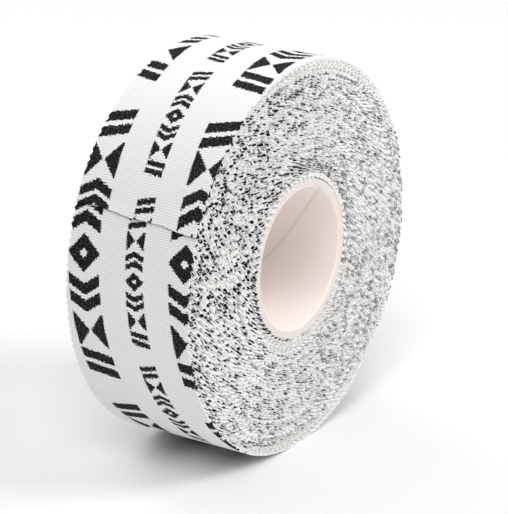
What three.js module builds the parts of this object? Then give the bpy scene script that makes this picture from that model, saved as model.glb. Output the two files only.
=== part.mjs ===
// A roll of cotton hand-wrap tape, wound on a paper core and standing on its rim.
// Millimetres. The core's axis is Y, +Z is up, and the origin is the middle of the roll.
// Angles are in degrees round the core's axis, from the top of the roll towards -X. The tape
// is wound in that direction, so each layer lies further out as its angle grows.

import * as THREE from 'three';

// Driving dimensions
const tapeWidth = 25;
const rollRadius = 35.5; // outside of the last layer, at its cut end
const layerPitch = 0.33; // one layer of cloth with its adhesive
const adhesiveThickness = 0.08;
const boreRadius = 12.7;
const coreWall = 1.6;
const linerThickness = 0.4; // inner ply of the core
const coreRecess = 0.1; // how far the core stops short of each side of the tape
const cutEndAngle = 65;
const tabAngle = 18.75; // loose length of the tape's end
const restFlatDepth = 0.15; // how far the roll is pressed flat where it stands

const layerGap = 0.05; // clearance between pieces that lie on each other
const plyGap = 0.02; // clearance between the cloth and its adhesive
const buttGap = 0.3; // clearance between pieces that meet end to end
const facetAngle = 3.75;
const angleTolerance = 1e-6;
const fullTurn = 360;

const tabRootAngle = cutEndAngle - tabAngle;
const buttAngle = THREE.MathUtils.radToDeg(buttGap / rollRadius);

const paper = { roughness: 0.8, metalness: 0 };
const cloth = { color: '#ebebee', roughness: 0.9, metalness: 0 };
const linerMaterial = new THREE.MeshStandardMaterial({ ...paper, color: '#eee6e0' });
const boardMaterial = new THREE.MeshStandardMaterial({ ...paper, color: '#e6dacb' });
const windingMaterial = new THREE.MeshStandardMaterial({ ...cloth, color: '#d5d5d8' });
const clothMaterial = new THREE.MeshStandardMaterial(cloth);
const adhesiveMaterial = new THREE.MeshStandardMaterial({ color: '#efece4', roughness: 0.6, metalness: 0 });

// Outside radius of the layer of tape that passes an angle. Angles run back from the cut end,
// and each full turn back is one layer further in.
function layerRadius(angle) {
  return rollRadius + (layerPitch * (angle - cutEndAngle)) / fullTurn;
}

const standingAngle = 180 - fullTurn; // where the last full turn passes under the roll
const floorHeight = restFlatDepth - layerRadius(standingAngle);

// A point on the roll's section, pressed flat underneath. Depth is how far the point's own
// layer lies inside the outermost one, so pressed layers keep their thickness.
function sectionPoint(angle, radius, depth = 0) {
  const turn = THREE.MathUtils.degToRad(angle);
  const height = Math.max(radius * Math.cos(turn), floorHeight + depth);
  return new THREE.Vector2(-radius * Math.sin(turn), height);
}

// Angles from first to last, on the facet grid between them, so that neighbouring layers
// have their facets side by side.
function facetAngles(first, last) {
  const angles = [first];
  const gridStart = Math.floor((first - cutEndAngle) / facetAngle) + 1;
  for (let step = gridStart; cutEndAngle + step * facetAngle < last - angleTolerance; step += 1) {
    angles.push(cutEndAngle + step * facetAngle);
  }
  angles.push(last);
  return angles;
}

// A section in X and Z, extruded along Y and centred on the middle of the roll.
function extrudedAcross(shape, width) {
  const geometry = new THREE.ExtrudeGeometry(shape, { depth: width, bevelEnabled: false, steps: 1 });
  geometry.rotateX(Math.PI / 2);
  geometry.translate(0, width / 2, 0);
  return geometry;
}

function circleOutline(radius) {
  const angles = facetAngles(cutEndAngle, cutEndAngle + fullTurn).slice(0, -1);
  return angles.map((angle) => sectionPoint(angle, radius));
}

function tube(outerRadius, innerRadius, width) {
  const shape = new THREE.Shape(circleOutline(outerRadius));
  shape.holes.push(new THREE.Path(circleOutline(innerRadius)));
  return extrudedAcross(shape, width);
}

// A length of tape between two angles, from outerDepth to innerDepth below the layer's outside.
function tapeStrip(firstAngle, lastAngle, outerDepth, innerDepth) {
  const angles = facetAngles(firstAngle, lastAngle);
  const edge = (depth) => angles.map((angle) => sectionPoint(angle, layerRadius(angle) - depth, depth));
  const outline = [...edge(outerDepth), ...edge(innerDepth).reverse()];
  return extrudedAcross(new THREE.Shape(outline), tapeWidth);
}

// All the layers under the last full turn, as one ring. Its outside is one turn of the
// winding's spiral, with a step where the turn above it begins.
function windingRing(innerRadius) {
  const angles = facetAngles(tabRootAngle - fullTurn, tabRootAngle);
  const outline = angles.map((angle) => sectionPoint(angle, layerRadius(angle) - layerPitch, layerPitch));
  const shape = new THREE.Shape(outline);
  shape.holes.push(new THREE.Path(circleOutline(innerRadius)));
  return extrudedAcross(shape, tapeWidth);
}

const roll = new THREE.Group();

function addPiece(name, geometry, material) {
  const mesh = new THREE.Mesh(geometry, material);
  mesh.name = name;
  roll.add(mesh);
}

// Paper core: an inner ply glued inside the board
const coreRadius = boreRadius + coreWall;
const coreLength = tapeWidth - 2 * coreRecess;
const linerRadius = boreRadius + linerThickness;
addPiece('core_liner', tube(linerRadius, boreRadius, coreLength), linerMaterial);
addPiece('core_board', tube(coreRadius, linerRadius + layerGap, coreLength), boardMaterial);

// Tape: the wound layers, the last full turn over them, and the end that peels off it
const turnStart = tabRootAngle - fullTurn + buttAngle;
const tabStart = tabRootAngle + buttAngle;
const clothThickness = layerPitch - layerGap - adhesiveThickness - plyGap;
addPiece('wound_turns', windingRing(coreRadius + layerGap), windingMaterial);
addPiece('outer_turn', tapeStrip(turnStart, tabRootAngle, 0, layerPitch - layerGap), clothMaterial);
addPiece('tape_end', tapeStrip(tabStart, cutEndAngle, 0, clothThickness), clothMaterial);
addPiece(
  'tape_end_adhesive',
  tapeStrip(tabStart, cutEndAngle, clothThickness + plyGap, layerPitch - layerGap),
  adhesiveMaterial,
);

export default roll;
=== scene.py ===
import math

import bpy
import numpy as np
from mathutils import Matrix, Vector


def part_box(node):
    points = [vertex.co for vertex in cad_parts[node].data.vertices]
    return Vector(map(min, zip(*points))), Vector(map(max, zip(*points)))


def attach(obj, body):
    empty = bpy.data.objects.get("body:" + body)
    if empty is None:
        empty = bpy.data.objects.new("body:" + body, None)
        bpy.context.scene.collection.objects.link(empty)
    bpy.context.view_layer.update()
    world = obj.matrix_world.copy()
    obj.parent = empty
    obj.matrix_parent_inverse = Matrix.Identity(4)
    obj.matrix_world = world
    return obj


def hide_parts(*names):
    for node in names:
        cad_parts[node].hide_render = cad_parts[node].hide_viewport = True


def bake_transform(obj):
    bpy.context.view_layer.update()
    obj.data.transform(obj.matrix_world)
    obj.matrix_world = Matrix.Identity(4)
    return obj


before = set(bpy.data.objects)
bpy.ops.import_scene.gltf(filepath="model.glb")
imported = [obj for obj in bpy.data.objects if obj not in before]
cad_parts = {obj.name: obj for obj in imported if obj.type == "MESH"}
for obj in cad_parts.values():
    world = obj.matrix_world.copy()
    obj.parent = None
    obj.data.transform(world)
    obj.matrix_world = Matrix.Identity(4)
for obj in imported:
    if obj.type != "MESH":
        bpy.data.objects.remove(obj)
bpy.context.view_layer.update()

# Sizes are in millimetres, and meshes are scaled to metres as they are made. Angles run round the
# roll's axis, from its top towards -X, which is the way that the tape is wound.
MM = 0.001
TAU = 2 * math.pi
SEED = 41

# The roll, as the CAD has it
LAYER_PITCH = 0.33
ADHESIVE_THICKNESS = 0.08
CUT_END_ANGLE = math.radians(65)
TAB_ANGLE = math.radians(18.75)  # loose length of the tape's end
REST_FLAT_DEPTH = 0.15
LINER_THICKNESS = 0.4

outer_low, outer_high = (np.array(corner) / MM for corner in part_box("outer_turn"))
board_high = np.array(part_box("core_board")[1]) / MM
liner_high = np.array(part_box("core_liner")[1]) / MM
ROLL_RADIUS = outer_high[2] + LAYER_PITCH * CUT_END_ANGLE / TAU
HALF_WIDTH = outer_high[1]
FLOOR_HEIGHT = outer_low[2]
CORE_RADIUS = board_high[2]
LINER_RADIUS = liner_high[2]
BORE_RADIUS = LINER_RADIUS - LINER_THICKNESS
CORE_HALF_LENGTH = board_high[1]

# The wound tape
TAPE_THICKNESS = 0.315  # cloth and adhesive, a little less than the pitch of the layers
PRESSED_DEPTH = 3.0  # the layers below this depth aren't pressed flat
WINDING_PIECES = 6
OUTER_ROWS = 16  # points across the cloth of the last turn
LONG_WAVE, MIDDLE_WAVE, SHORT_WAVE = 300, 150, 60  # samples between the knots of slow changes
PITCH_SPREAD, PITCH_DRIFT = 0.035, 0.02  # how much the teeth differ in length, each and slowly
LONG_SWAY, MIDDLE_SWAY, SHORT_SWAY = 0.09, 0.05, 0.04  # how far the turns wander sideways
PROUD_TURNS = 1.3  # the turns within this distance of the core stand out past its end
PROUD_REACH = 0.4  # by this much where they touch the core
PROUD_TIP, PROUD_LEAN = 0.5, 1.5  # how much of a tip past the end leans in, and how steeply

# Pinked edges: each tooth is four samples long
TOOTH_PITCH = 1.4
TOOTH_SAMPLES = 4
TIP_SAMPLES = (1, 2)
TOOTH_DEPTH = 1.0
TOOTH_SIZES = (0.7, 1.15)  # the smallest and the largest, as shares of that depth
TOOTH_FRAY = 0.06
OUTER_TEETH = (0.35, 0.4)  # the last turn's teeth are shallower, at its near and far edges
TOOTH_ROOT = 1.3  # from the tips to the first row of the plain cloth
DEEPEST_NOTCH = TOOTH_ROOT - 0.1
TIP_SPLAY = 0.025  # how far the tips stray out of their layer
SAMPLE = TOOTH_PITCH / TOOTH_SAMPLES

# Ink at the edges, as shares of the teeth
EDGE_READ = 0.45  # how far inside the edge the print is read, in millimetres
MARK_INK = 0.6  # inked where a mark meets the edge
STRAY_INK = 0.27  # inked at random
CUT_INK, CUT_STAIN = 0.35, 0.5  # of the inked teeth, those inked or stained on their cut
INNER_STAIN, SHOWING_THROUGH = 0.25, 0.8  # stained below it, and showing through the back
WARM_PATCHES, WARM_SPREAD, WARM_FROM = 1.0, 0.6, 0.7  # cloth is warm where its noise is high

# Arcs of the near side where its ink differs, each as its middle and half width in degrees
RIM_PLAIN_ARCS = ((343, 62), (192, 64))
CORE_PLAIN_ARC = (180, 75)
CORE_DENSE_ARC = (320, 70)
CORE_INKED_ARC = (125, 75)
ARC_STEEPNESS = 1.5
RIM_PLAIN_DEPTH, BORDERED_DEPTH = 2.4, 1  # how deep the rim is plain, and the least with a border
CORE_PLAIN_DEPTH, CORE_PLAIN_SWELL = 1.0, 2.0  # all round the core, and more in its plain arc
CORE_DENSE_BAND = (1.0, 3.2)
CORE_INKED_BAND = 0.8
BORDER_WIDTH = 0.7  # of the dense bands that border the plain ones
DENSE_ARC_INK, BESIDE_RIM_INK, BESIDE_CORE_INK = 0.5, 0.35, 0.25  # shares added to STRAY_INK

# The loose end
END_ROWS = 82
END_SLANT = 0.75
END_WAVES = ((0.16, 0.5, 1.0), (0.08, 1.3, 0.0))  # its cut's: size, phase per mm, first phase
END_LIFT, END_CURL, CURL_RATE = 0.16, 0.06, 0.45
END_RISE = 4.0  # the length over which it lifts
END_FRAY = 0.05
COAT_GAP = 0.01  # between the cloth and the adhesive on it
COAT_SHORT, COAT_INSET = 0.15, 0.1  # how far the adhesive stops short of the cut and the sides

# The core
TUBE_SIDES = 320
ROUNDING = LINER_THICKNESS * 0.95  # of the liner's ends
ROUNDING_STEPS, BORE_RINGS = 7, 100
BORE_TOLERANCE = 0.01
PLY_GAP = 0.03

# Edges that bend less than this are shaded smooth
SOFT_EDGE, TUBE_SOFT_EDGE = math.radians(40), math.radians(35)

# Weave and print
WEFT = 0.44  # from one thread to the next, along the tape
WARP = 0.37  # and across it
WEFT_SWING, WARP_SWING, WARP_HEIGHT = 0.15, 0.4, 0.8
PRINT_SLOPE = math.atan(0.097)  # the rows of marks run at a slant to the tape's edges
ROW_PERIOD = 20.3
LARGE_ROW = {"half": 3.15, "pitch": 6.9, "group": 54.6, "middle": 8.7, "start": -20.0}
SMALL_ROW = {"half": 1.8, "pitch": 3.45, "group": 27.3, "middle": -1.6, "start": -4.0}

# The marks, in half heights of their row across it and in their pitch along it
MARKS_IN_GROUP = 7
DIAMOND_SLOPE, DIAMOND_HOLE, DIAMOND_RIM = 2.15, 0.26, 1.06
LINE_PLACE, LINE_HALF = 0.22, 0.15
CHEVRON_BEND, BAR_SLANT = 0.26, 0.10
TRIANGLE_SLOPE, TRIANGLE_POINT, TRIANGLE_HALF = 1.8, 0.04, 0.47

# The seam of the liner is a helix, and it passes through this place
SEAM_ANGLE, SEAM_PLACE = math.radians(236), 2.56
SEAM_LEAD = 56.5
GROOVE_DEPTH, GROOVE_WIDTH = 0.12, 0.28
STEP_HEIGHT, STEP_WIDTH, STEP_FADE = 0.05, 0.12, 3
SEAM_SHARPNESS, SEAM_SHADE = 11, 0.5


# ---------------------------------------------------------------- arithmetic for meshes and nodes

class Term:
    """A value in a material's tree. Its arithmetic adds Math nodes, so that one formula can
    serve both an array of points and a material."""

    def __init__(self, tree, socket):
        self.tree, self.socket = tree, socket

    def math(self, operation, *others):
        node = self.tree.nodes.new("ShaderNodeMath")
        node.operation = operation
        for slot, value in zip(node.inputs, (self, *others)):
            if isinstance(value, Term):
                self.tree.links.new(value.socket, slot)
            else:
                slot.default_value = value
        return Term(self.tree, node.outputs[0])

    def __add__(self, other):
        return self.math("ADD", other)

    def __sub__(self, other):
        return self.math("SUBTRACT", other)

    def __rsub__(self, other):
        return (self * -1) + other

    def __mul__(self, other):
        return self.math("MULTIPLY", other)

    def __truediv__(self, other):
        return self.math("DIVIDE", other)

    __radd__, __rmul__ = __add__, __mul__


def floor(x):
    return x.math("FLOOR") if isinstance(x, Term) else np.floor(x)


def magnitude(x):
    return x.math("ABSOLUTE") if isinstance(x, Term) else np.abs(x)


def less(x, limit):
    return x.math("LESS_THAN", limit) if isinstance(x, Term) else (x < limit) * 1.0


def larger(x, y):
    return x.math("MAXIMUM", y) if isinstance(x, Term) else np.maximum(x, y)


def remainder(x, period):
    return x - floor(x / period) * period


def within(x, low, high):
    return less(x, high) * (1 - less(x, low))


# ---------------------------------------------------------------- the print

def line_pair(x):
    return less(magnitude(magnitude(x) - LINE_PLACE), LINE_HALF)


def mark_row(across, along, half, pitch, group, middle, start):
    """1 in the marks of one kind of row. Each group is a mirrored run of seven marks: a diamond
    ring in the middle, then double chevrons, facing triangles and slanted bars on both sides."""
    side = (remainder(across - middle + ROW_PERIOD / 2, ROW_PERIOD) - ROW_PERIOD / 2) / half
    off = magnitude(side)
    out = magnitude(remainder(along - start, group) / pitch - MARKS_IN_GROUP / 2)
    index = floor(out + 0.5)
    x = out - index
    diamond = within(off + magnitude(x) * DIAMOND_SLOPE, DIAMOND_HOLE, DIAMOND_RIM)
    chevrons = line_pair(x + off * CHEVRON_BEND - CHEVRON_BEND / 2)
    triangle = less(magnitude(x) * TRIANGLE_SLOPE + TRIANGLE_POINT, off)
    triangles = triangle * less(magnitude(x), TRIANGLE_HALF)
    bars = line_pair(x + side * BAR_SLANT)
    marks = (diamond, chevrons, triangles, bars)
    drawn = sum(mark * within(index, k - 0.5, k + 0.5) for k, mark in enumerate(marks))
    return drawn * less(off, 1)


def printed(s, y):
    """1 where the tape is inked. s runs along the tape and is 0 at its cut end."""
    across = y * math.cos(PRINT_SLOPE) + s * math.sin(PRINT_SLOPE)
    along = s * math.cos(PRINT_SLOPE) - y * math.sin(PRINT_SLOPE)
    return larger(mark_row(across, along, **LARGE_ROW), mark_row(across, along, **SMALL_ROW))


# ---------------------------------------------------------------- materials

def new_material(name, color, roughness, **constants):
    material = bpy.data.materials.new(name)
    material.use_nodes = True
    shader = material.node_tree.nodes["Principled BSDF"]
    shader.inputs["Base Color"].default_value = (*color, 1)
    shader.inputs["Roughness"].default_value = roughness
    for socket, value in constants.items():
        shader.inputs[socket.replace("_", " ")].default_value = value
    return material, material.node_tree, shader


def add_noise(tree, vector, scale, detail=3.0):
    node = tree.nodes.new("ShaderNodeTexNoise")
    node.inputs["Scale"].default_value = scale
    node.inputs["Detail"].default_value = detail
    tree.links.new(vector, node.inputs["Vector"])
    return Term(tree, node.outputs["Fac"])


def add_bump(tree, shader, height, distance):
    node = tree.nodes.new("ShaderNodeBump")
    node.inputs["Distance"].default_value = distance * MM
    node.inputs["Strength"].default_value = 1.0
    tree.links.new(height.socket, node.inputs["Height"])
    tree.links.new(node.outputs["Normal"], shader.inputs["Normal"])


def add_mix(tree, share, first, second):
    """A colour that goes from first to second as share goes from 0 to 1."""
    node = tree.nodes.new("ShaderNodeMix")
    node.data_type = "RGBA"
    tree.links.new(share.socket, node.inputs["Factor"])
    for slot, value in ((node.inputs["A"], first), (node.inputs["B"], second)):
        if isinstance(value, bpy.types.NodeSocket):
            tree.links.new(value, slot)
        else:
            slot.default_value = (*value, 1)
    return node.outputs["Result"]


def split_vector(tree, vector):
    node = tree.nodes.new("ShaderNodeSeparateXYZ")
    tree.links.new(vector, node.inputs["Vector"])
    return [Term(tree, node.outputs[axis]) for axis in "XYZ"]


def place_in_millimetres(tree):
    place = tree.nodes.new("ShaderNodeTexCoord")
    scaled = tree.nodes.new("ShaderNodeVectorMath")
    scaled.operation = "SCALE"
    scaled.inputs["Scale"].default_value = 1 / MM
    tree.links.new(place.outputs["Object"], scaled.inputs[0])
    return scaled.outputs["Vector"]


CLOTH_WHITE = (0.955, 0.955, 0.955)
CLOTH_COOL = (0.92, 0.92, 0.945)
# painted shade: the cloth is mixed towards this colour between its threads, where the weave is low, and
# also at random where its noise is high
CLOTH_SHADE_AND_MOTTLE = (0.64, 0.64, 0.66)
INK = (0.005, 0.005, 0.007)
INK_THIN = (0.10, 0.10, 0.11)
THREAD_SHARE = 0.5  # how far the edges of the marks keep to whole threads
FRAY_REACH, STRAY_REACH = 1.1, 0.8  # how far they wander along and across the tape
# HOLLOW_SHADE weights the painted shade between the threads; STRAY_SHADE darkens the cloth at random
HOLLOW_SHADE, STRAY_SHADE = 0.9, 0.6  # how dark the cloth is between its threads
HOLLOW_THIN, FLECK_THIN, FULL_INK = 0.3, 5.0, 0.25  # where the ink is thin
FRAY_HEIGHT = 0.4

PAPER = (0.91, 0.84, 0.80)
PAPER_PALE = (0.93, 0.87, 0.83)
PAPER_WARM = (0.89, 0.81, 0.765)
PAPER_SEAM = (0.70, 0.62, 0.57)
PATCH_SHARE, FIBRE_SHARE = 0.8, 0.2


def weave(s, y):
    """Height of a plain weave: each thread passes over one neighbour and under the next."""
    weft, warp = s / WEFT, y / WARP
    over_weft = ((weft + floor(warp)) * math.pi).math("SINE")
    over_warp = ((warp + floor(weft) + 1) * math.pi).math("SINE")
    weft_crown = magnitude((weft * math.pi).math("SINE"))
    warp_crown = magnitude((warp * math.pi).math("SINE"))
    weft_height = over_warp * WEFT_SWING + (1 - WEFT_SWING)
    warp_height = (over_weft * WARP_SWING + (1 - WARP_SWING)) * WARP_HEIGHT
    return larger(weft_crown * weft_height, warp_crown * warp_height)


def printed_cloth():
    """Bleached cotton with dark marks, which follow the threads at their edges and are thin
    here and there. The cloth is darkened with painted shade between its threads, and at random too."""
    material, tree, shader = new_material("printed_cotton", CLOTH_WHITE, roughness=0.88, **DULL)
    uv = tree.nodes.new("ShaderNodeUVMap")
    uv.uv_map = "tape"
    on_tape = uv.outputs["UV"]
    s, y, _ = split_vector(tree, on_tape)

    fray = add_noise(tree, on_tape, scale=2.6, detail=2.0) - 0.5
    stray = add_noise(tree, on_tape, scale=7.0, detail=2.0) - 0.5
    s_thread, y_thread = ((floor(x / pitch) + 0.5) * pitch for x, pitch in ((s, WEFT), (y, WARP)))
    ink = printed(
        s * (1 - THREAD_SHARE) + s_thread * THREAD_SHARE + fray * FRAY_REACH,
        y * (1 - THREAD_SHARE) + y_thread * THREAD_SHARE + stray * STRAY_REACH,
    )
    height = weave(s, y)
    hollow = 1 - height
    blotch = add_noise(tree, on_tape, scale=0.12, detail=2.0)
    cloth = add_mix(tree, blotch, CLOTH_WHITE, CLOTH_COOL)
    # painted shade between the threads, where the weave is low, and random mottle from the stray noise
    shaded_and_mottled = add_mix(tree, hollow * HOLLOW_SHADE + stray * STRAY_SHADE, cloth, CLOTH_SHADE_AND_MOTTLE)
    fleck = add_noise(tree, on_tape, scale=3.6, detail=1.0) - 0.5
    flecked = add_mix(tree, hollow * HOLLOW_THIN + fleck * FLECK_THIN - FULL_INK, INK, INK_THIN)
    tree.links.new(add_mix(tree, ink, shaded_and_mottled, flecked), shader.inputs["Base Color"])
    add_bump(tree, shader, height + fray * FRAY_HEIGHT, distance=0.05)
    return material


def fibrous(name, color, roughness, scale=3.0, distance=0.04, **constants):
    """A plain colour with a fine fibrous surface."""
    material, tree, shader = new_material(name, color, roughness, **constants)
    add_bump(tree, shader, add_noise(tree, place_in_millimetres(tree), scale), distance)
    return material


def seam_offset(theta, y):
    """Distance along the bore from the liner's seam, at an angle and a place along the bore."""
    off = y - SEAM_PLACE + SEAM_LEAD / TAU * (theta - SEAM_ANGLE)
    return remainder(off + SEAM_LEAD / 2, SEAM_LEAD) - SEAM_LEAD / 2


def core_paper():
    """Smooth pale paper with faint fibres and warmer patches, darker along its seam."""
    material, tree, shader = new_material("core_paper", PAPER, roughness=0.7)
    place = place_in_millimetres(tree)
    x, y, z = split_vector(tree, place)
    off = seam_offset((x * -1).math("ARCTAN2", z), y)
    line = (off * off * -SEAM_SHARPNESS).math("EXPONENT")
    patches = add_noise(tree, place, scale=0.15)
    fibres = add_noise(tree, place, scale=4.0, detail=4.0)
    paper = add_mix(tree, patches * PATCH_SHARE + fibres * FIBRE_SHARE, PAPER_PALE, PAPER_WARM)
    tree.links.new(add_mix(tree, line * SEAM_SHADE, paper, PAPER_SEAM), shader.inputs["Base Color"])
    add_bump(tree, shader, fibres, distance=0.02)
    return material


SOFT = {"Subsurface_Weight": 0.7, "Subsurface_Scale": 0.5 * MM, "Subsurface_Radius": (1, 1, 1)}
DULL = {"Specular_IOR_Level": 0.15}
PRINTED = printed_cloth()
ADHESIVE = fibrous("adhesive_coat", (0.94, 0.935, 0.93), roughness=0.7, scale=1.2, distance=0.03, **SOFT)
CORE_PAPER = core_paper()
CORE_END = fibrous("core_cut_end", (0.80, 0.735, 0.695), roughness=0.9, scale=5.0, distance=0.05)

# The windings' materials, and their slots
EDGE_MATERIALS = [
    fibrous("cut_edge_white", (0.96, 0.95, 0.94), roughness=0.95, **SOFT),
    fibrous("cut_edge_warm", (0.95, 0.925, 0.895), roughness=0.95, **SOFT),
    fibrous("cut_edge_ink", (0.010, 0.010, 0.012), roughness=0.85, **DULL),
    fibrous("cut_edge_stain", (0.28, 0.28, 0.29), roughness=0.9, **DULL),
    fibrous("ink_showing_through", (0.46, 0.46, 0.47), roughness=0.9, **SOFT),
    ADHESIVE,
]
WHITE, WARM, INKED, STAINED, SHOWING, GLUED = range(len(EDGE_MATERIALS))


# ---------------------------------------------------------------- meshes

def smooth_noise(rng, count, spacing, size):
    """Values that wander slowly, one per sample, with a knot every spacing samples."""
    knots = rng.normal(0, size, count // spacing + 4)
    at = np.arange(count) / spacing
    low = at.astype(int)
    part = at - low
    part = part * part * (3 - 2 * part)
    return knots[low] * (1 - part) + knots[low + 1] * part


def make_object(name, vertices, faces, materials, face_materials=None, smooth_below=None):
    mesh = bpy.data.meshes.new(name)
    mesh.from_pydata((np.asarray(vertices) * MM).tolist(), [], faces)
    for material in materials:
        mesh.materials.append(material)
    if face_materials is not None:
        mesh.polygons.foreach_set("material_index", np.asarray(face_materials, dtype=np.int32))
    if smooth_below is not None:
        mesh.shade_smooth()
        mesh.set_sharp_from_angle(angle=smooth_below)
    mesh.update()
    piece = bpy.data.objects.new(name, mesh)
    bpy.context.scene.collection.objects.link(piece)
    return piece


def winding_angle(s):
    """Angle from the cut end of a point s along the tape's outer surface. Both are below 0."""
    growth = LAYER_PITCH / TAU
    return (np.sqrt(ROLL_RADIUS**2 + 2 * growth * s) - ROLL_RADIUS) / growth


def tape_length_at(angle):
    """The inverse of winding_angle."""
    return ROLL_RADIUS * angle + LAYER_PITCH / TAU * angle**2 / 2


def on_roll(angle, radius, y):
    """Points at an angle from the cut end, pressed flat where the roll stands."""
    turn = CUT_END_ANGLE + angle
    depth = np.clip(ROLL_RADIUS - radius, 0, None)
    pressed = REST_FLAT_DEPTH * np.clip(1 - depth / PRESSED_DEPTH, 0, 1)
    z = np.maximum(radius * np.cos(turn), pressed - radius)
    return np.stack([-radius * np.sin(turn), y, z], -1)


def tooth_depths(position, depth, rng):
    """How far the cut edge lies inside the tips of the teeth, at each sample."""
    notch = np.abs(2 * (position % TOOTH_SAMPLES) / TOOTH_SAMPLES - 1)
    size = rng.uniform(*TOOTH_SIZES, position[-1] // TOOTH_SAMPLES + 1)[position // TOOTH_SAMPLES]
    return notch * depth * size + rng.normal(0, TOOTH_FRAY, len(position))


class Strip:
    """A closed length of tape: rings of points across its outer face, round its edges and back
    across its inner face. top is how far its outer face lies inside the layer's."""

    def __init__(self, name, s, rows, thickness, rng, teeth=(TOOTH_DEPTH, TOOTH_DEPTH), top=0.0):
        self.name, self.s, self.count = name, s, len(s)
        self.angle = winding_angle(s)
        self.radius = ROLL_RADIUS + LAYER_PITCH / TAU * self.angle - top
        self.thickness, self.rng = thickness, rng
        self.position = np.arange(self.count) + rng.integers(TOOTH_SAMPLES)
        near, far = (tooth_depths(self.position, depth, rng) for depth in teeth)
        self.y = np.empty((self.count, rows))
        self.y[:, 1:-1] = np.linspace(-1, 1, rows - 2) * (HALF_WIDTH - TOOTH_ROOT)
        self.y[:, 0] = -HALF_WIDTH + np.clip(near, 0, DEEPEST_NOTCH)
        self.y[:, -1] = HALF_WIDTH - np.clip(far, 0, DEEPEST_NOTCH)
        self.wander = np.zeros(self.count)
        self.lift = np.zeros((self.count, rows))
        for column in (0, -1):
            self.lift[:, column] = rng.normal(0, TIP_SPLAY, self.count)

    def build(self, materials, face_materials=None, along=0.0, smooth_below=None):
        """along moves points along the tape, in millimetres, one value for each outer point."""
        angle = self.angle[:, None] + along / self.radius[:, None]
        radius = self.radius[:, None] + self.lift
        y = self.y + self.wander[:, None]
        outer = on_roll(angle, radius, y)
        inner = on_roll(angle, radius - self.thickness, y)
        middle = (outer[:, [0, -1]] + inner[:, [0, -1]]) / 2
        ring = np.concatenate([outer, middle[:, 1:], inner[:, ::-1], middle[:, :1]], axis=1)
        size = ring.shape[1]
        corner = np.arange(size)
        row = np.arange(self.count - 1)[:, None] * size
        start, after = row + corner, row + (corner + 1) % size
        quads = np.stack([start, start + size, after + size, after], -1).reshape(-1, 4)
        last = (self.count - 1) * size
        faces = quads.tolist() + [corner.tolist(), (last + corner[::-1]).tolist()]
        if face_materials is not None:
            face_materials = np.concatenate([face_materials.ravel(), [0, 0]])
        piece = make_object(self.name, ring.reshape(-1, 3), faces, materials, face_materials, smooth_below)
        self.write_uv(piece, size)
        return piece

    def write_uv(self, piece, size):
        """The tape's own coordinates in millimetres: along it and across it."""
        across = np.concatenate([self.y, self.y[:, -1:], self.y[:, ::-1], self.y[:, :1]], axis=1)
        at = np.stack([np.repeat(self.s, size), across.ravel()], -1).astype(np.float32)
        layer = piece.data.uv_layers.new(name="tape")
        corners = np.empty(len(piece.data.loops), dtype=np.int32)
        piece.data.loops.foreach_get("vertex_index", corners)
        layer.data.foreach_set("uv", at[corners].ravel())


# A wound strip's ring of faces: those of each edge, from the outer face round to the inner one
WINDING_ROWS = 4
NEAR_EDGE, FAR_EDGE, INNER_MIDDLE = (0, 9, 8, 7), (2, 3, 4, 5), 6


def arc(turn, middle, half):
    """1 round the middle angle, in degrees, and 0 from half degrees away from it."""
    away = np.abs(remainder(np.degrees(turn) - middle + 180, 360) - 180)
    return np.clip(ARC_STEEPNESS * (1 - away / half), 0, 1)


def ink_chance(radius, turn):
    """How often a near tooth that no mark reaches carries stray ink, and which teeth are plain."""
    above_core, depth = radius - CORE_RADIUS, ROLL_RADIUS - radius
    fringe = RIM_PLAIN_DEPTH * sum(arc(turn, *place) for place in RIM_PLAIN_ARCS)
    first = CORE_PLAIN_DEPTH + CORE_PLAIN_SWELL * arc(turn, *CORE_PLAIN_ARC)
    dense = arc(turn, *CORE_DENSE_ARC) * within(above_core, *CORE_DENSE_BAND)
    beside_rim = (fringe > BORDERED_DEPTH) * within(depth - fringe, 0, BORDER_WIDTH)
    beside_core = within(above_core - first, 0, BORDER_WIDTH)
    chance = STRAY_INK + DENSE_ARC_INK * dense + BESIDE_RIM_INK * beside_rim + BESIDE_CORE_INK * beside_core
    plain = (depth < fringe) | (above_core < first)
    chance = np.where(plain, 0.0, chance)
    return np.where(above_core < CORE_INKED_BAND, arc(turn, *CORE_INKED_ARC), chance), plain


def winding_materials(strip):
    """The slot of each face of a wound strip. Only the tips of the teeth are inked."""
    rng, steps, position = strip.rng, strip.count - 1, strip.position[:-1]
    s = (strip.s[1:] + strip.s[:-1]) / 2
    chance, plain = ink_chance(strip.radius[1:], CUT_END_ANGLE + strip.angle[1:])
    warmth = smooth_noise(rng, steps, SHORT_WAVE, WARM_PATCHES) + rng.normal(0, WARM_SPREAD, steps)
    cloth = np.where(warmth + plain > WARM_FROM, WARM, WHITE)
    tips = np.isin(position % TOOTH_SAMPLES, TIP_SAMPLES)

    def per_tooth(share):
        return rng.random(position[-1] // TOOTH_SAMPLES + 1)[position // TOOTH_SAMPLES] < share

    near = printed(s, np.full(steps, EDGE_READ - HALF_WIDTH)) > 0.5
    near = tips & ((near & ~plain & per_tooth(MARK_INK)) | per_tooth(chance))
    far = printed(s, np.full(steps, HALF_WIDTH - EDGE_READ)) > 0.5
    far = tips & ((far & per_tooth(MARK_INK)) | per_tooth(STRAY_INK))

    slots = np.full((steps, 2 * WINDING_ROWS + 2), WHITE)
    slots[:, INNER_MIDDLE] = GLUED
    for edge, (outer, outer_half, inner_half, inner) in ((near, NEAR_EDGE), (far, FAR_EDGE)):
        slots[:, outer] = np.where(edge, INKED, cloth)
        cut_ink, cut_stain = edge & per_tooth(CUT_INK), edge & per_tooth(CUT_STAIN)
        slots[:, outer_half] = np.where(cut_ink, INKED, np.where(cut_stain, STAINED, cloth))
        slots[:, inner_half] = np.where(edge & per_tooth(INNER_STAIN), STAINED, cloth)
        slots[:, inner] = np.where(edge & per_tooth(SHOWING_THROUGH), SHOWING, GLUED)
    return slots


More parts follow.
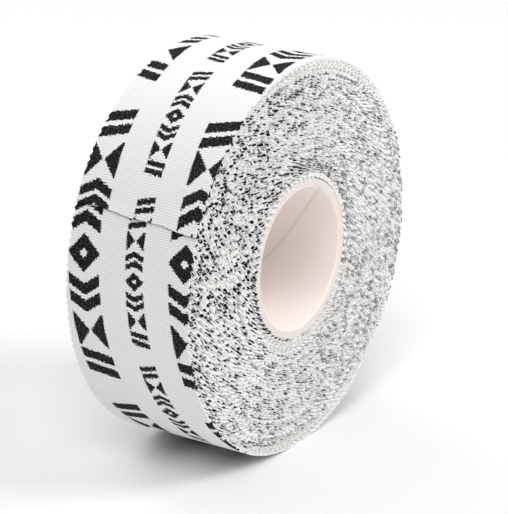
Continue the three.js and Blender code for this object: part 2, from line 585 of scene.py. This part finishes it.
def build_windings():
    """The turns under the last one, as a few long strips end to end."""
    first = tape_length_at(-TAU * (ROLL_RADIUS - CORE_RADIUS - LAYER_PITCH) / LAYER_PITCH)
    last = tape_length_at(-TAB_ANGLE - TAU)
    steps = int((last - first) / SAMPLE)
    rng = np.random.default_rng(SEED)
    uneven = rng.normal(0, PITCH_SPREAD, steps // TOOTH_SAMPLES + 2).repeat(TOOTH_SAMPLES)[:steps + 1]
    stretch = np.cumsum(1 + uneven + smooth_noise(rng, steps + 1, LONG_WAVE, PITCH_DRIFT))
    whole = last + (stretch - stretch[-1]) / stretch[-1] * (last - first)
    sway = smooth_noise(rng, steps + 1, LONG_WAVE, LONG_SWAY)
    sway += smooth_noise(rng, steps + 1, SHORT_WAVE, SHORT_SWAY)
    parts = []
    for k in range(WINDING_PIECES):
        begin = k * steps // WINDING_PIECES
        end = (k + 1) * steps // WINDING_PIECES + 1
        strip = Strip(f"winding_{k + 1}", whole[begin:end], WINDING_ROWS, TAPE_THICKNESS, rng)
        proud = np.clip(1 - (strip.radius - CORE_RADIUS) / PROUD_TURNS, 0, 1)
        strip.wander = sway[begin:end] - PROUD_REACH * proud
        over_core = np.clip(-CORE_HALF_LENGTH - strip.y[:, 0] - strip.wander, 0, PROUD_TIP)
        strip.lift[:, 0] -= proud * over_core * PROUD_LEAN
        parts.append((strip.build(EDGE_MATERIALS, winding_materials(strip)), strip))
    return parts


def build_outer_turn():
    s_root = tape_length_at(-TAB_ANGLE)
    s_first = tape_length_at(-TAB_ANGLE - TAU)
    count = int((s_root - s_first) / SAMPLE) + 1
    rng = np.random.default_rng(SEED + 1)
    s = np.linspace(s_first, s_root, count)
    strip = Strip("outer_turn_cloth", s, OUTER_ROWS, TAPE_THICKNESS, rng, OUTER_TEETH)
    strip.wander = smooth_noise(rng, count, MIDDLE_WAVE, MIDDLE_SWAY)
    slots = np.zeros((count - 1, 2 * OUTER_ROWS + 2), dtype=int)
    slots[:, OUTER_ROWS + 1:2 * OUTER_ROWS] = 1
    return strip.build([PRINTED, ADHESIVE], slots, smooth_below=SOFT_EDGE), strip


def build_tape_end():
    """The loose end, with its cut across the threads, and the adhesive on its back."""
    s_root = tape_length_at(-TAB_ANGLE)
    rng = np.random.default_rng(SEED + 2)
    s = np.linspace(s_root, 0, int(-s_root / SAMPLE) + 1)
    top = TAPE_THICKNESS - ADHESIVE_THICKNESS
    cloth = Strip("tape_end_cloth", s, END_ROWS, top - COAT_GAP, rng, OUTER_TEETH)
    y = np.linspace(-HALF_WIDTH, HALF_WIDTH, END_ROWS)
    cut = -y / HALF_WIDTH * END_SLANT
    cut += sum(size * np.sin(y * rate + phase) for size, rate, phase in END_WAVES)
    rise = np.clip(1 + s / END_RISE, 0, 1)[:, None]
    along = rise * cut
    along[-1] += rng.normal(0, END_FRAY, END_ROWS)
    cloth.lift = rise**3 * (END_LIFT + END_CURL * np.sin(y * CURL_RATE))
    piece = cloth.build([PRINTED], along=along, smooth_below=SOFT_EDGE)
    coat = Strip("tape_end_adhesive_coat", s, END_ROWS, ADHESIVE_THICKNESS, rng, top=top)
    coat.y = np.clip(cloth.y, -HALF_WIDTH + COAT_INSET, HALF_WIDTH - COAT_INSET)
    coat.lift = cloth.lift
    return piece, coat.build([ADHESIVE], along=rise * (cut - COAT_SHORT), smooth_below=SOFT_EDGE)


def tube(name, section, materials):
    """A closed tube from a section: a loop of (radius, y, material slot) points, where each
    slot is that of the face from its point to the next. The seam is cut in its bore."""
    theta = np.arange(TUBE_SIDES) * TAU / TUBE_SIDES
    rings = np.array([point[:2] for point in section])[:, :, None].repeat(TUBE_SIDES, axis=2)
    radius, y = rings[:, 0], rings[:, 1]
    in_bore = radius < BORE_RADIUS + BORE_TOLERANCE
    radius = radius + np.where(in_bore, liner_seam(theta, y), 0)
    points = np.stack([-radius * np.sin(theta), y, radius * np.cos(theta)], -1).reshape(-1, 3)
    faces, slots = [], []
    for k, point in enumerate(section):
        below, above = k * TUBE_SIDES, ((k + 1) % len(section)) * TUBE_SIDES
        for j in range(TUBE_SIDES):
            after = (j + 1) % TUBE_SIDES
            faces.append([below + j, above + j, above + after, below + after])
            slots.append(point[2])
    return make_object(name, points, faces, materials, slots, TUBE_SOFT_EDGE)


def liner_seam(theta, y):
    """A shallow groove along the seam, and a ply's edge that stands up a little beside it."""
    off = seam_offset(theta, y)
    step = 1 / (1 + np.exp(-off / STEP_WIDTH)) - 0.5
    edge = STEP_HEIGHT * step * np.exp(-np.abs(off) / STEP_FADE)
    return GROOVE_DEPTH * np.exp(-((off / GROOVE_WIDTH) ** 2)) + edge


def build_core():
    """The inner ply, with its ends rounded over, and the board around it."""
    paper, cut = 0, 1
    turn = np.linspace(0, math.pi / 2, ROUNDING_STEPS)
    inward = BORE_RADIUS + ROUNDING * (1 - np.cos(turn))
    outward = CORE_HALF_LENGTH - ROUNDING * (1 - np.sin(turn))
    corner = list(zip(inward, outward))
    straight = np.linspace(-CORE_HALF_LENGTH + ROUNDING, CORE_HALF_LENGTH - ROUNDING, BORE_RINGS)[1:-1]
    section = [(r, -y, paper) for r, y in corner[::-1]]
    section += [(BORE_RADIUS, y, paper) for y in straight]
    section += [(r, y, cut) for r, y in corner]
    section += [(LINER_RADIUS, CORE_HALF_LENGTH, paper), (LINER_RADIUS, -CORE_HALF_LENGTH, cut)]
    liner = tube("core_liner_paper", section, [CORE_PAPER, CORE_END])
    near, far = -CORE_HALF_LENGTH, CORE_HALF_LENGTH
    inside = LINER_RADIUS + PLY_GAP
    ends = [(inside, near, 0), (inside, far, 0), (CORE_RADIUS, far, 0), (CORE_RADIUS, near, 0)]
    return liner, tube("core_board_plies", ends, [CORE_END])


# ---------------------------------------------------------------- build and ride

liner, board = build_core()
windings = build_windings()
outer_turn, outer_strip = build_outer_turn()
tape_end, adhesive_coat = build_tape_end()

for piece, node, slot in (
    (liner, "core_liner", "core_paper"),
    (board, "core_board", "core_board"),
    (outer_turn, "outer_turn", "tape_cloth"),
):
    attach(piece, "roll")
    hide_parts(node)

for piece, strip in windings:
    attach(piece, "roll")
    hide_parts("wound_turns")
    length = (strip.s[-1] - strip.s[0]) * MM

for piece, node, slot in (
    (tape_end, "tape_end", "tape_cloth"),
    (adhesive_coat, "tape_end_adhesive", "adhesive"),
):
    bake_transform(piece)
    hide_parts(node)

(outer_strip.s[-1] - outer_strip.s[0]) * MM


# ---------------------------------------------------------------- floor, light and camera

FLOOR_RADIUS = 0.85  # metres
FLOOR_SIDES = 96
FLOOR_GAP = 0.02  # between the floor and the roll
FLOOR_WHITE = (0.88, 0.88, 0.88)
WORLD_LIGHT, BACKDROP_LIGHT = 0.07, 0.9

# Each lamp's place and side in metres, and its power in watts. All of them face the roll.
LAMPS = {
    "overhead": ((0, 0.3, 0.9), 1.2, 5.2),
    "left": ((-0.7, -0.3, 0.9), 0.6, 6.6),
    "front": ((0.45, -0.85, 0.7), 0.6, 8.8),
    "back": ((0.4, 0.9, 0.6), 0.8, 3.8),
}

# The camera's axis passes a little beside the middle of the roll
CAMERA_AZIMUTH, CAMERA_ELEVATION = math.radians(-57.1), math.radians(21.0)
CAMERA_DISTANCE, CAMERA_ASIDE, CAMERA_ABOVE = 0.5296, 0.0023, -0.0021  # metres
LENS, SENSOR_WIDTH = 210.1, 36  # millimetres


def add_floor():
    """A round floor, as wide as the lamps light evenly."""
    turns = np.arange(FLOOR_SIDES) * TAU / FLOOR_SIDES
    rim = np.stack([np.cos(turns), np.sin(turns), turns * 0], -1) * FLOOR_RADIUS / MM
    rim[:, 2] = FLOOR_HEIGHT - FLOOR_GAP
    material, _, _ = new_material("studio_floor", FLOOR_WHITE, roughness=0.9)
    make_object("floor", rim, [list(range(FLOOR_SIDES))], [material])


def add_lamp(name, place, side, power):
    light = bpy.data.lights.new(name, "AREA")
    light.shape = "SQUARE"
    light.size = side
    light.energy = power
    lamp = bpy.data.objects.new(name, light)
    lamp.location = place
    lamp.rotation_mode = "QUATERNION"
    lamp.rotation_quaternion = (-Vector(place)).to_track_quat("-Z", "Y")
    bpy.context.scene.collection.objects.link(lamp)


def add_world(strength, backdrop):
    """A dim light from all round, in front of a pale backdrop that lights nothing."""
    world = bpy.data.worlds.new("studio")
    world.use_nodes = True
    tree = world.node_tree
    rays = tree.nodes.new("ShaderNodeLightPath")
    seen = Term(tree, rays.outputs["Is Camera Ray"])
    background = tree.nodes["Background"]
    background.inputs["Color"].default_value = (1, 1, 1, 1)
    tree.links.new((seen * (backdrop - strength) + strength).socket, background.inputs["Strength"])
    bpy.context.scene.world = world


def add_camera():
    back = Vector((
        math.sin(CAMERA_AZIMUTH) * math.cos(CAMERA_ELEVATION),
        -math.cos(CAMERA_AZIMUTH) * math.cos(CAMERA_ELEVATION),
        math.sin(CAMERA_ELEVATION),
    ))
    right = Vector((0, 0, 1)).cross(back).normalized()
    up = back.cross(right)
    camera = bpy.data.cameras.new("camera")
    camera.lens = LENS
    camera.sensor_width = SENSOR_WIDTH
    eye = bpy.data.objects.new("camera", camera)
    eye.location = back * CAMERA_DISTANCE + right * CAMERA_ASIDE + up * CAMERA_ABOVE
    eye.rotation_mode = "QUATERNION"
    eye.rotation_quaternion = (-back).to_track_quat("-Z", "Y")
    bpy.context.scene.collection.objects.link(eye)
    bpy.context.scene.camera = eye


add_floor()
bpy.context.scene.view_settings.view_transform = "Standard"
add_world(WORLD_LIGHT, BACKDROP_LIGHT)
for name, (place, side, power) in LAMPS.items():
    add_lamp(name, place, side, power)
add_camera()
